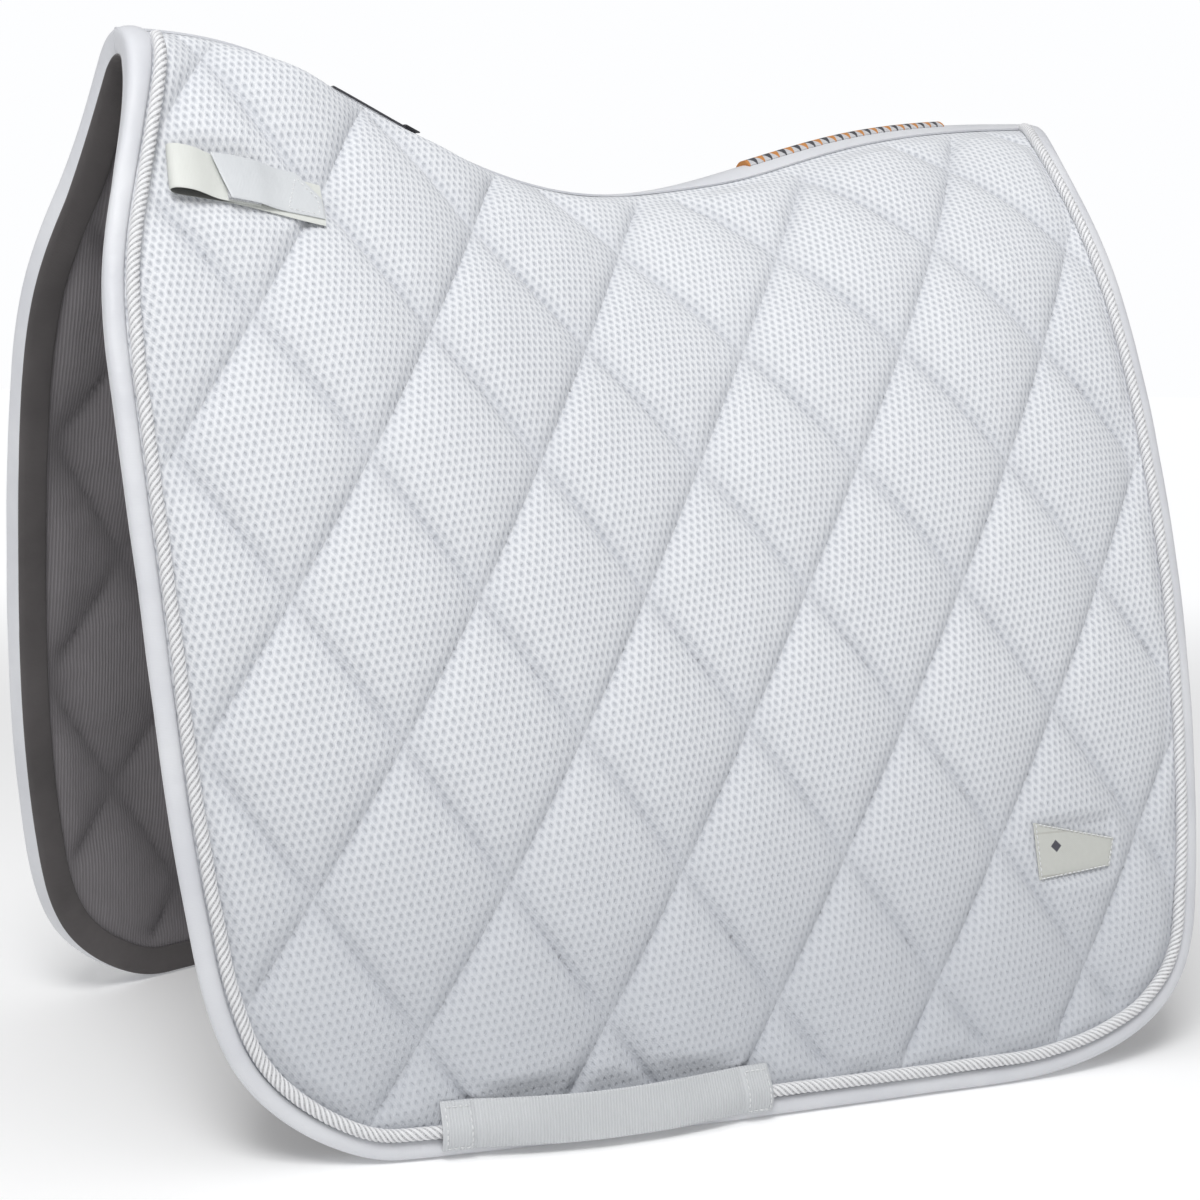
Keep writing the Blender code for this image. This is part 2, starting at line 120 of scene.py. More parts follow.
# Stitches: their spacing and the radius of the thread.
STITCH_PITCH = 2.9 * MM
THREAD_RADIUS = 0.32 * MM

STUDIO_WHITE = (0.985, 0.99, 1.0, 1)


# ---------------- the pad's surface


def natural_curve(knots, values, start=None):
    """Cubic curve through the values at the knots; start may fix the direction that it leaves in."""
    knots, values = np.asarray(knots, float), np.asarray(values, float)
    count, gap = len(knots), np.diff(knots)
    matrix, wanted = np.eye(count), np.zeros(count)
    rise = np.diff(values) / gap
    for i in range(1, count - 1):
        matrix[i, i - 1:i + 2] = gap[i - 1], 2 * (gap[i - 1] + gap[i]), gap[i]
        wanted[i] = 6 * (rise[i] - rise[i - 1])
    if start is not None:
        matrix[0, :2] = 2 * gap[0], gap[0]
        wanted[0] = 6 * (rise[0] - start)
    bend = np.linalg.solve(matrix, wanted)

    def value(k):
        i = np.clip(np.searchsorted(knots, k) - 1, 0, count - 2)
        back, ahead = knots[i + 1] - k, k - knots[i]
        curved = (bend[i] * back**3 + bend[i + 1] * ahead**3) / (6 * gap[i])
        line = (values[i] / gap[i] - bend[i] * gap[i] / 6) * back
        return curved + line + (values[i + 1] / gap[i] - bend[i + 1] * gap[i] / 6) * ahead

    return value


def path_length(points):
    """Length along a path at each of its points."""
    return np.append(0, np.cumsum(np.hypot(*np.diff(points, axis=0).T)))


def smooth(low, high, value):
    """0 below low and 1 above high, with an even rise between them."""
    share = np.clip((value - low) / (high - low), 0, 1)
    return share * share * (3 - 2 * share)


def running_sum(rates, step):
    middle = (rates[:, 1:] + rates[:, :-1]) * step / 2
    return np.concatenate([np.zeros((len(rates), 1)), np.cumsum(middle, axis=1)], axis=1)


def surface_tables():
    """Reach, height and outward normal by station and distance below the spine, and each station's drop."""
    share = STATIONS / SPAN
    # Slopes in radians low on the side and at the spine, and how far down one turns into the other.
    lower = 1.656 - 0.427 * share
    spine = 0.997 * (1 - share)
    bend = 0.372 - 0.282 * share - 0.088 * share * (1 - share)
    fade = np.exp(-DOWN / bend[:, None])
    slope = lower[:, None] + 0.116 * DOWN - (lower - spine)[:, None] * fade
    rounded = slope * np.minimum(1, DOWN / (RIDGE_RADIUS * np.maximum(slope[:, :1], 0.02)))
    near = 1 - smooth(*RIDGE_REACH, DOWN)
    reach, fall = (
        near * running_sum(turn(rounded), DOWN[1]) + (1 - near) * running_sum(turn(slope), DOWN[1])
        for turn in (np.cos, np.sin)
    )
    slope = np.arctan2(np.gradient(fall, axis=1), np.gradient(reach, axis=1))
    height = natural_curve(*zip(*SPINE_HEIGHTS))(STATIONS)[:, None] - fall
    full = np.array([np.interp(0, -row, DOWN) for row in height])
    y_rate = np.gradient(reach, STATIONS, axis=0)
    z_rate = np.gradient(height, STATIONS, axis=0)
    normal = np.stack([-(y_rate * np.sin(slope) + z_rate * np.cos(slope)), np.sin(slope), np.cos(slope)], -1)
    normal /= np.linalg.norm(normal, axis=-1, keepdims=True)
    return np.concatenate([np.stack([reach, height], -1), normal], -1), full


SURFACE, DROP = surface_tables()


def between(table, row, column):
    """Values of a table between its rows and columns."""
    row = np.clip(row, 0, table.shape[0] - 1.001)
    column = np.clip(column, 0, table.shape[1] - 1.001)
    i, j = row.astype(int), column.astype(int)
    extra = (1,) * (table.ndim - 2)
    u, v = (row - i).reshape(row.shape + extra), (column - j).reshape(row.shape + extra)
    near = (1 - v) * table[i, j] + v * table[i, j + 1]
    far = (1 - v) * table[i + 1, j] + v * table[i + 1, j + 1]
    return (1 - u) * near + u * far


def station(x):
    return (x - STATIONS[0]) / STATION_STEP


def crease_table():
    """By station and depth, how far below the spine a face has to start to stay on its own side."""
    fine = np.arange(0, 0.04, 0.1 * MM)
    x, s = np.meshgrid(STATIONS, fine, indexing="ij")
    found = between(SURFACE, station(x), s / DOWN[1])
    rows = [np.zeros(len(STATIONS))]
    for step in range(1, 32):
        clear = found[..., 0] - step * DEPTH_STEP * found[..., 3] >= SEAM_GAP
        rows.append(np.where(clear.any(axis=1), fine[clear.argmax(axis=1)], 0.04))
    return np.stack(rows, axis=1)


CREASE = crease_table()


def drop(x):
    return np.interp(x, STATIONS, DROP)


def crease_start(x, depth):
    return between(CREASE, station(x), depth / DEPTH_STEP)


def place(x, t, depth, side):
    """World positions of points of one side. Close to the hem, depth runs level, so the hem is flat."""
    x, t, depth = (np.array(value, float) for value in np.broadcast_arrays(x, t, depth))
    s = np.maximum(drop(x) - t, crease_start(x, depth))
    y, z, nx, ny, nz = np.moveaxis(between(SURFACE, station(x), s / DOWN[1]), -1, 0)
    share = smooth(0, HEM_SQUARE, t)
    level = depth * (share + (1 - share) / (nx**2 + ny**2))
    return np.stack([x - nx * level - X_MIDDLE, side * (y - ny * level), z - depth * nz * share], -1)


def edge_curve(points, direction):
    points = np.array(points)
    length = path_length(points)
    fine = np.linspace(0, length[-1], 400)
    columns = (natural_curve(length, points[:, 0], direction), natural_curve(length, points[:, 1], 0))
    return np.stack([curve(fine) for curve in columns], -1)


def whole_edge():
    """The edge of one side from the spine's front end, round the hem, to its rear end."""
    front = edge_curve(FRONT_EDGE, -1)[::-1]
    hem = np.column_stack([np.linspace(HEM_START, HEM_END, 80)[1:-1], np.zeros(78)])
    points = np.vstack([front, hem, edge_curve(REAR_EDGE, 1)])
    return points, path_length(points)


EDGE, EDGE_LENGTH = whole_edge()
EDGE_END = EDGE_LENGTH[-1]
HEM_LENGTHS = [EDGE_LENGTH[np.argmin(abs(EDGE[:, 0] - x) + EDGE[:, 1])] for x in (HEM_START, HEM_END)]


def edge_at(length, inset=0.0):
    """Points (x, t) at lengths round the edge, moved in square to the edge by the inset."""
    length, inset = np.broadcast_arrays(length, inset)
    ends = [np.clip(length + gap, 0, EDGE_END) for gap in (-2 * MM, 0, 2 * MM)]
    x, t = ([np.interp(end, EDGE_LENGTH, EDGE[:, i]) for end in ends] for i in (0, 1))
    run = np.stack([x[2] - x[0], t[2] - t[0]])
    run = run / np.hypot(*run)
    return x[1] - inset * run[1], t[1] + inset * run[0]


def front_flare(length):
    """How much wider the binding grows towards the ridge at the front."""
    return WITHERS_FLARE * (1 - smooth(0, 0.065, length))


def side_grid(across, up, inset):
    """Points (x, t) over a whole side: rows from hem to spine, columns from front to rear."""
    b = np.linspace(0, 1, up + 1)[:, None]
    a = np.linspace(0, 1, across + 1)[None, :]
    front = edge_at(HEM_LENGTHS[0] * (1 - b), inset)
    rear = edge_at(HEM_LENGTHS[1] + b * (EDGE_END - HEM_LENGTHS[1]), inset)
    x = front[0] + a * (rear[0] - front[0])
    t = front[1] + a * (rear[1] - front[1])
    bow = drop(x) - (1 - a) * drop(front[0]) - a * drop(rear[0])
    t = t + smooth(0.35, 1, b) * bow
    t[-1] = drop(x[-1])
    return x, t


def from_edge(x, t):
    """Distance of each point from the side's edge, measured on the flat cloth."""
    lengths = np.arange(0, EDGE_END, 3 * MM)
    edge = np.stack(edge_at(lengths), -1)
    rows = [np.hypot(a[:, None] - edge[:, 0], b[:, None] - edge[:, 1]).min(axis=1) for a, b in zip(x, t)]
    return np.array(rows)


def spine_tape_half(x):
    """Half width of the white tape on the ridge: a thin line at the front, a broad tape behind the dip."""
    return (1.9 + 13.6 * smooth(0.36, 0.47, x)) * MM


def waves(x, y, seed):
    """Smooth random waves between -1 and 1, about one to a unit."""
    table = np.random.default_rng(seed).uniform(-1, 1, (64, 64))
    i, j = np.floor(x).astype(int), np.floor(y).astype(int)
    u, v = x - i, y - j
    u, v = u * u * (3 - 2 * u), v * v * (3 - 2 * v)
    low = (1 - v) * table[i % 64, j % 64] + v * table[i % 64, (j + 1) % 64]
    high = (1 - v) * table[(i + 1) % 64, j % 64] + v * table[(i + 1) % 64, (j + 1) % 64]
    return (1 - u) * low + u * high


def fullness(x, t):
    """How full the wadding is: 0 on a quilting seam and 1 in the middle of a diamond."""
    p = (x - QUILT_CORNER[0]) / QUILT_STEP[0]
    q = (QUILT_CORNER[1] - t) / QUILT_STEP[1]
    crowns = []
    for turn in ((p + q) / 2, (p - q) / 2):
        crowns.append((np.sqrt(np.sin(np.pi * turn) ** 2 + 0.003) - 0.0548) / 0.9467)
    return np.sqrt(np.clip(crowns[0] * crowns[1], 0, 1))


def under_rectangle(x, t, low, high, falloff):
    """1 under a rectangle in (x, t), falling to 0 around it."""
    beside, above = (
        np.maximum(0, np.maximum(low[i] - value, value - high[i])) for i, value in enumerate((x, t))
    )
    return 1 - smooth(0, falloff, np.hypot(beside, above))


def sewn_over(x, t, side):
    """Where a strap or label is sewn on the shell and holds it flat."""
    along = (x - BILLET_FRONT[0]) * BILLET_DIRECTION[0] + (t - BILLET_FRONT[1]) * BILLET_DIRECTION[1]
    up = (t - BILLET_FRONT[1]) * BILLET_DIRECTION[0] - (x - BILLET_FRONT[0]) * BILLET_DIRECTION[1]
    held = under_rectangle(along, up, (-0.002, -0.013), (0.078, 0.013), 0.014)
    held = np.maximum(held, under_rectangle(x, t, (GIRTH_X[0], 0), (GIRTH_X[1], 0.028), 0.010))
    if side < 0:
        held = np.maximum(held, under_rectangle(x, t, (0.507, 0.106), (0.557, 0.134), 0.006))
    return held


# ---------------- mesh making


def new_object(name, data):
    item = bpy.data.objects.new(name, data)
    bpy.context.scene.collection.objects.link(item)
    return item


def new_piece(name, points, faces, uv, paint, slot, replaced, body):
    """Object from points, quads and a UV in metres for each point, on a body or with its transform baked in.
    """
    data = bpy.data.meshes.new(name)
    data.from_pydata(points.tolist(), [], faces.tolist())
    layer = data.uv_layers.new(name="metres")
    corners = np.empty(len(data.loops), int)
    data.loops.foreach_get("vertex_index", corners)
    layer.data.foreach_set("uv", uv[corners].astype(np.float32).ravel())
    data.shade_smooth()
    data.set_sharp_from_angle(angle=math.radians(50))
    item = new_object(name, data)
    data.materials.append(paint)
    if replaced:
        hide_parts(*replaced)
    if isinstance(body, str):
        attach(item, body)
    elif isinstance(body, tuple):
        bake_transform(item)
    else:
        bend_at_fold(item, body)
    return item


def bend_at_fold(item, side):
    """The piece crosses the fold of this side; only its transform is baked into its points."""
    middle = place(0.345, drop(0.345) - 0.20, 0, side)
    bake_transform(item)


def outward(points, faces):
    """Faces turned so that they look outward."""
    a, b, c, d = (points[faces[:, i]] for i in range(4))
    volume = (a * np.cross(b, c)).sum() + (a * np.cross(c, d)).sum()
    return faces if volume > 0 else faces[:, ::-1]


def closed_sheet(name, sides, uv, *rest):
    """Closed piece between two faces, each a grid of points, with a UV for each grid point."""
    outer, inner = sides
    rows, columns = outer.shape[:2]
    count = rows * columns
    index = np.arange(count).reshape(rows, columns)
    quads = np.stack([index[:-1, :-1], index[1:, :-1], index[1:, 1:], index[:-1, 1:]], -1).reshape(-1, 4)
    rim = np.concatenate([index[0], index[1:, -1], index[-1, -2::-1], index[-2:0:-1, 0]])
    after = np.roll(rim, -1)
    walls = np.stack([rim, after, after + count, rim + count], -1)
    points = np.concatenate([outer.reshape(-1, 3), inner.reshape(-1, 3)])
    faces = outward(points, np.concatenate([quads, quads[:, ::-1] + count, walls]))
    flat = uv.reshape(-1, 2)
    return new_piece(name, points, faces, np.concatenate([flat, flat]), *rest)


def grid_of(first, second):
    """Two coordinates, spread over each other, as pairs."""
    return np.stack(np.broadcast_arrays(first, second), -1)


def round_tube(name, centres, out, radius, uv, *rest):
    """Closed tube: a radius for each centre and angle, with angle 0 along out."""
    along = np.gradient(centres, axis=0)
    along /= np.linalg.norm(along, axis=1, keepdims=True)
    out = out - (out * along).sum(1, keepdims=True) * along
    out /= np.linalg.norm(out, axis=1, keepdims=True)
    beside = np.cross(along, out)
    turns = radius.shape[1]
    angle = np.arange(turns) * 2 * np.pi / turns
    ring = np.cos(angle)[None, :, None] * out[:, None] + np.sin(angle)[None, :, None] * beside[:, None]
    points = (centres[:, None] + radius[..., None] * ring).reshape(-1, 3)
    index = np.arange(len(points)).reshape(-1, turns)
    after = np.roll(index, -1, axis=1)
    quads = np.stack([index[:-1], after[:-1], after[1:], index[1:]], -1).reshape(-1, 4)
    first, last, strips = index[0], index[-1], range(turns // 2 - 1)
    caps = [[last[k], last[k + 1], last[-2 - k], last[-1 - k]] for k in strips]
    caps += [[first[-1 - k], first[-2 - k], first[k + 1], first[k]] for k in strips]
    faces = outward(points, np.concatenate([quads, np.array(caps)]))
    return new_piece(name, points, faces, uv.reshape(-1, 2), *rest)


# ---------------- materials


class Shader:
    """A Principled material, built node by node; its constants are sheen, sheen roughness and specular."""

    def __init__(self, name, *constants):
        self.material = bpy.data.materials.new(name)
        self.material.use_nodes = True
        self.tree = self.material.node_tree
        self.principled = self.tree.nodes["Principled BSDF"]
        for socket, value in zip(("Sheen Weight", "Sheen Roughness", "Specular IOR Level"), constants):
            self.principled.inputs[socket].default_value = value

    def feed(self, socket, value):
        if isinstance(value, bpy.types.NodeSocket):
            self.tree.links.new(value, socket)
        else:
            socket.default_value = value

    def node(self, kind, inputs, output=0, **settings):
        made = self.tree.nodes.new("ShaderNode" + kind)
        for key, value in settings.items():
            setattr(made, key, value)
        for socket, value in inputs.items():
            self.feed(made.inputs[socket], value)
        return made.outputs[output]

    def math(self, operation, a, b=0.0, c=0.0):
        return self.node("Math", {0: a, 1: b, 2: c}, operation=operation)

    def times(self, a, b):
        return self.math("MULTIPLY", a, b)

    def plus(self, a, b):
        return self.math("ADD", a, b)

    def vector(self, operation, a, b=(0, 0, 0)):
        output = 1 if operation in ("LENGTH", "DOT_PRODUCT") else 0
        return self.node("VectorMath", {0: a, 1: b}, output, operation=operation)

    def mix(self, share, a, b):
        colours = [(*value, 1) if isinstance(value, tuple) else value for value in (a, b)]
        return self.node("Mix", {0: share, 6: colours[0], 7: colours[1]}, 2, data_type="RGBA")

    def ramp(self, value, low, high, start=0.0, end=1.0):
        inputs = {0: value, 1: low, 2: high, 3: start, 4: end}
        return self.node("MapRange", inputs, interpolation_type="SMOOTHSTEP")

    def metres(self, scale=1000.0):
        """The piece's own flat coordinates, in millimetres as a rule."""
        uv = self.node("UVMap", {}, uv_map="metres")
        return self.scale(uv, scale, scale)

    def scale(self, vector, x, y):
        return self.vector("MULTIPLY", vector, (x, y, 0))

    def split(self, vector):
        made = self.tree.nodes.new("ShaderNodeSeparateXYZ")
        self.tree.links.new(vector, made.inputs[0])
        return made.outputs[0], made.outputs[1]

    def noise(self, vector, scale, detail=2.0, roughness=0.5):
        inputs = {"Vector": vector, "Scale": scale, "Detail": detail, "Roughness": roughness}
        return self.node("TexNoise", inputs)

    def waves(self, vector, direction, period):
        """Smooth ridges between 0 and 1 that run across the direction."""
        across = self.vector("DOT_PRODUCT", vector, (*direction, 0))
        turn = self.times(across, 2 * math.pi / period)
        return self.math("MULTIPLY_ADD", self.math("SINE", turn), 0.5, 0.5)

    def attribute(self, name):
        return self.node("Attribute", {}, 2, attribute_name=name)

    def finish(self, colour, roughness, height=None, depth=0.2 * MM, strength=1.0):
        surface = self.principled.inputs
        self.feed(surface["Base Color"], colour)
        self.feed(surface["Roughness"], roughness)
        if height is not None:
            bump = self.node("Bump", {"Strength": strength, "Distance": depth, "Height": height})
            self.feed(surface["Normal"], bump)
        return self.material


def darker(colour, share):
    return tuple(share * value for value in colour)


def mesh_fabric():
    """White spacer mesh: oval holes in staggered rows between fine knitted strands, with painted highlight
    on the strands and painted shade in the quilting valleys and towards the hem.
    """
    paint = Shader("spacer_mesh", 0.15, 0.5, 0.25)
    flat = paint.metres()
    drift = paint.node("TexNoise", {"Vector": flat, "Scale": 0.25, "Detail": 1.0}, 1)
    drift = paint.scale(paint.vector("SUBTRACT", drift, (0.5, 0.5, 0.5)), 1, 1)
    spot = paint.vector("ADD", flat, drift)
    lean = math.radians(8.5)
    rows_along = paint.vector("DOT_PRODUCT", spot, (math.cos(lean), math.sin(lean), 0))
    rows_up = paint.vector("DOT_PRODUCT", spot, (-math.sin(lean), math.cos(lean), 0))
    spot = paint.node("CombineXYZ", {0: rows_along, 1: rows_up, 2: 0.0})
    pitch, rows = 3.75, 8.5
    cells = paint.scale(spot, 1 / pitch, 1 / rows)
    distances = []
    for shift in (0.0, 0.5):
        cell = paint.vector("FRACTION", paint.vector("ADD", cells, (shift, shift, 0)))
        off = paint.scale(paint.vector("SUBTRACT", cell, (0.5, 0.5, 0)), pitch / 0.66, rows / 1.1)
        distances.append(paint.vector("LENGTH", off))
    distance = paint.math("MINIMUM", *distances)
    hole = paint.ramp(distance, 0.25, 1.4, 1.0, 0.0)
    knit = paint.plus(paint.waves(spot, (0.84, 0.55), 1.15), paint.waves(spot, (-0.84, 0.55), 1.15))
    strand = paint.ramp(distance, 1.4, 2.5, 0.0, 1.0)
    fibre = paint.noise(spot, 2.6, 3.0, 0.6)
    dust = paint.noise(paint.metres(1.0), 9.0, 4.0, 0.55)
    valley_shade = paint.attribute("valley_shade")
    thread = paint.mix(dust, (0.56, 0.58, 0.62), (0.66, 0.68, 0.715))
    # Painted highlight: the strands away from the holes are lightened towards this white; the knit waves are
    # lightened faintly too.
    highlight_white = (0.84, 0.85, 0.87)
    thread = paint.mix(paint.times(knit, 0.10), thread, highlight_white)
    thread = paint.mix(paint.times(strand, 0.65), thread, highlight_white)
    shade = paint.times(hole, paint.math("MULTIPLY_ADD", fibre, 0.3, 0.36))
    colour = paint.mix(shade, thread, (0.38, 0.40, 0.44))
    # Painted shade: the quilting valleys are darkened towards grey.
    painted_shade_colour = paint.mix(paint.times(valley_shade, 0.30), colour, (0.44, 0.46, 0.51))
    # Painted shade: the shell darkens towards the hem, where it curls under and turns away from the light.
    height_on_side = paint.split(flat)[1]
    painted_shade_colour = paint.mix(paint.ramp(height_on_side, 260.0, 0.0, 0.0, 0.7), painted_shade_colour, (0.48, 0.50, 0.54))
    height = paint.math("MULTIPLY_ADD", hole, -1.0, paint.times(knit, 0.16))
    height = paint.plus(height, paint.times(fibre, 0.2))
    across = math.hypot(0.5 / QUILT_STEP[0], 0.5 / QUILT_STEP[1]) * MM
    for sign in (1, -1):
        slope = (0.5 / QUILT_STEP[0] * MM, -0.5 * sign / QUILT_STEP[1] * MM, 0)
        start = 0.5 - 0.5 * QUILT_CORNER[0] / QUILT_STEP[0] + 0.5 * sign * QUILT_CORNER[1] / QUILT_STEP[1]
        turn = paint.math("FRACT", paint.plus(paint.vector("DOT_PRODUCT", flat, slope), start))
        away = paint.math("DIVIDE", paint.math("ABSOLUTE", paint.math("SUBTRACT", turn, 0.5)), across)
        groove = paint.math("POWER", 0.70, away)
        height = paint.math("MULTIPLY_ADD", groove, -2.4, height)
    roughness = paint.math("MULTIPLY_ADD", hole, 0.2, 0.72)
    return paint.finish(painted_shade_colour, roughness, height, 0.45 * MM, 0.8)


def lining_fabric():
    """Grey wicking knit with fine upright ribs; its quilting valleys carry painted shade."""
    paint = Shader("ribbed_lining", 0.25, 0.4, 0.25)
    flat = paint.metres()
    along, up = paint.split(flat)
    stretched = paint.scale(flat, 1, 0.06)
    uneven = paint.noise(stretched, 0.9, 3.0, 0.6)
    ribs = paint.waves(flat, (1.0, 0.0), 1.9)
    steps = paint.waves(flat, (0.0, 1.0), 0.8)
    dust = paint.noise(flat, 0.02, 4.0, 0.55)
    valley_shade = paint.attribute("valley_shade")
    base = paint.mix(dust, (0.165, 0.155, 0.16), (0.235, 0.22, 0.23))
    lit = paint.mix(paint.times(ribs, paint.times(uneven, 0.65)), base, (0.36, 0.345, 0.365))
    # Painted shade: the quilting valleys of the lining are darkened towards near black.
    colour = paint.mix(paint.times(valley_shade, 0.5), lit, (0.085, 0.08, 0.085))
    height = paint.math("MULTIPLY_ADD", uneven, 0.9, ribs)
    height = paint.plus(height, paint.times(steps, 0.2))
    return paint.finish(colour, paint.ramp(uneven, 0.2, 0.8, 0.95, 0.75), height, 0.25 * MM, 0.7)


def satin_tape(name, light, dark, roughness=0.42):
    """Smooth woven tape with a soft shine and fine cross ribs; u runs along it and v across."""
    paint = Shader(name, 0.2, 0.3, 0.4)
    flat = paint.metres()
    ribs = paint.waves(flat, (1.0, 0.0), 0.7)
    weave = paint.waves(flat, (0.0, 1.0), 0.55)
    crumple = paint.noise(paint.scale(flat, 0.16, 0.07), 1.0, 4.0, 0.6)
    dust = paint.noise(flat, 0.015, 3.0, 0.5)
    base = paint.mix(paint.ramp(dust, 0.3, 0.7), dark, light)
    colour = paint.mix(paint.times(ribs, 0.12), base, darker(dark, 0.8))
    # Painted shade: inside the billet loop the tape is darkened nearly to black.
    crevice_shade = paint.times(paint.attribute("crevice_shade"), 0.9)
    colour = paint.mix(crevice_shade, colour, darker(dark, 0.12))
    height = paint.plus(paint.times(ribs, 0.35), paint.times(weave, 0.2))
    height = paint.plus(height, paint.times(crumple, 5.0))
    gloss = paint.ramp(crumple, 0.3, 0.7, roughness + 0.08, roughness - 0.04)
    return paint.finish(colour, gloss, height, 0.1 * MM, 0.8)


def cord_yarn():
    """Silver-white yarn of the piped cord: fine fibres that lie along each strand."""
    paint = Shader("cord_yarn", 0.3, 0.3, 0.6)
    flat = paint.metres()
    fibres = paint.waves(flat, (1.0, -CORD_LAY), 1.1)
    fuzz = paint.noise(flat, 1.2, 3.0, 0.6)
    crevice_shade = paint.attribute("crevice_shade")
    silver = paint.mix(fibres, (0.76, 0.77, 0.79), (0.97, 0.97, 0.98))
    silver = paint.mix(paint.ramp(fuzz, 0.35, 0.75), silver, (0.90, 0.90, 0.91))
    # Painted shade: the grooves between the strands are darkened towards dark grey.
    colour = paint.mix(paint.times(crevice_shade, 0.95), silver, (0.20, 0.20, 0.215))
    height = paint.plus(fibres, fuzz)
    return paint.finish(colour, paint.ramp(fuzz, 0.3, 0.7, 0.32, 0.5), height, 0.12 * MM, 0.9)


def webbing():
    """Ribbed white webbing: stout ribs across its length."""
    paint = Shader("ribbed_webbing", 0.15, 0.4, 0.35)
    flat = paint.metres()
    drift = paint.scale(paint.noise(paint.scale(flat, 1, 0.08), 0.5, 2.0), 0.6, 0)
    ribs = paint.waves(paint.vector("ADD", flat, drift), (1.0, 0.0), 1.5)
    weave = paint.waves(flat, (0.0, 1.0), 0.7)
    dust = paint.noise(flat, 0.02, 4.0, 0.5)
    base = paint.mix(dust, (0.55, 0.565, 0.58), (0.67, 0.685, 0.70))
    colour = paint.mix(paint.times(paint.math("SUBTRACT", 1.0, ribs), 0.3), base, (0.42, 0.43, 0.45))
    height = paint.plus(ribs, paint.times(weave, 0.25))
    return paint.finish(colour, 0.62, height, 0.22 * MM, 0.9)


def pile(name, light, dark):
    """Hook and loop: short tangled pile."""
    paint = Shader(name, 0.4, 0.5, 0.3)
    flat = paint.metres()
    tangle = paint.noise(flat, 1.6, 4.0, 0.7)
    rows = paint.waves(flat, (1.0, 0.0), 1.8)
    colour = paint.mix(tangle, dark, light)
    height = paint.plus(paint.times(tangle, 2.0), rows)
    return paint.finish(colour, 0.9, height, 0.4 * MM, 1.0)


def woven_label(name, ground, marks, thread, pitch, size, rows, middle=(0.0, 0.0)):
    """Woven label with a generic row of diamonds in two colours and a plain line near each edge."""
    paint = Shader(name, 0.15, 0.4, 0.3)
    flat = paint.metres()
    along, across = paint.split(flat)
    turn = paint.math("MULTIPLY_ADD", paint.math("SUBTRACT", along, middle[0]), 1 / pitch, 0.5)
    cell = paint.math("SUBTRACT", paint.math("FRACT", turn), 0.5)
    step = paint.times(paint.math("ABSOLUTE", cell), pitch / size[0])
    rise = paint.math("DIVIDE", paint.math("ABSOLUTE", paint.math("SUBTRACT", across, middle[1])), size[1])
    diamond = paint.ramp(paint.plus(step, rise), 0.92, 1.08, 1.0, 0.0)
    line = paint.math("ABSOLUTE", paint.math("SUBTRACT", paint.math("ABSOLUTE", across), rows))
    border = paint.ramp(line, 0.35, 0.6, 1.0, 0.0)
    weave = paint.waves(flat, (1.0, 0.0), 0.5)
    twill = paint.waves(flat, (0.7, 0.7), 0.8)
    dust = paint.noise(flat, 0.3, 3.0)
    base = paint.mix(paint.times(dust, 0.35), ground, darker(ground, 0.75))
    turn_in_two = paint.math("FRACT", paint.times(paint.math("FLOOR", turn), 0.5))
    mark = paint.mix(paint.times(turn_in_two, 2.0), *marks)
    colour = paint.mix(diamond, base, mark)
    colour = paint.mix(border, colour, thread)
    colour = paint.mix(paint.times(weave, 0.12), colour, (0.1, 0.1, 0.1))
    height = paint.plus(paint.plus(weave, twill), diamond)
    return paint.finish(colour, 0.6, height, 0.1 * MM, 0.8)


def sewing_thread(name, colour):
    paint = Shader(name, 0.2, 0.5, 0.45)
    flat = paint.metres()
    twist = paint.waves(flat, (1.0, 0.4), 0.6)
    tone = paint.mix(twist, darker(colour, 0.8), colour)
    return paint.finish(tone, 0.5, twist, 0.08 * MM, 0.7)


# ---------------- quilted layers


def set_attribute(item, name, values):
    """Attribute for the materials: a value for each point, the outer face's points first."""
    made = item.data.attributes.new(name, "FLOAT", "POINT")
    made.data.foreach_set("value", np.asarray(values, np.float32).ravel())


def quilted_rise(x, t, side):
    """How proud of the flat cloth the outer face stands, and how deep in a seam each point is."""
    full = fullness(x, t)
    rim = smooth(14 * MM, 27 * MM, from_edge(x, t))
    free = rim * smooth(3 * MM, 22 * MM, drop(x) - t - spine_tape_half(x))
    rise = SHELL_PILLOW * full - SHELL_SEAM * (1 - full) ** 1.3
    rise += 0.7 * MM * full * waves(x / 0.024, t / 0.024, 5)
    rise += 0.5 * MM * (1 - full) * full * 3 * waves(x / 0.006, t / 0.006, 6)
    held = sewn_over(x, t, side)
    rise = free * (rise * (1 - held) + held * np.minimum(rise, -0.3 * MM))
    # The second value is the mask of the painted shade in the quilting seams.
    return rise, free * (1 - full) ** 3


def add_shell(label, side, paint):
    x, t = side_grid(300, 280, CLOTH_INSET)
    rise, valley_shade = quilted_rise(x, t, side)
    outer = place(x, t, -rise, side)
    inner = place(x, t, SHELL_BACK, side)
    nodes = [f"{layer}_{part}_{label}" for layer in ("shell", "core") for part in ("flap", "yoke")]
    uv = np.stack([x, t], -1)
    item = closed_sheet(f"quilted_shell_{label}", (outer, inner), uv, paint, "mesh_shell", nodes, side)
    # Painted shade in the quilting seams, on the outer face only.
    set_attribute(item, "valley_shade", [valley_shade, 0 * valley_shade])


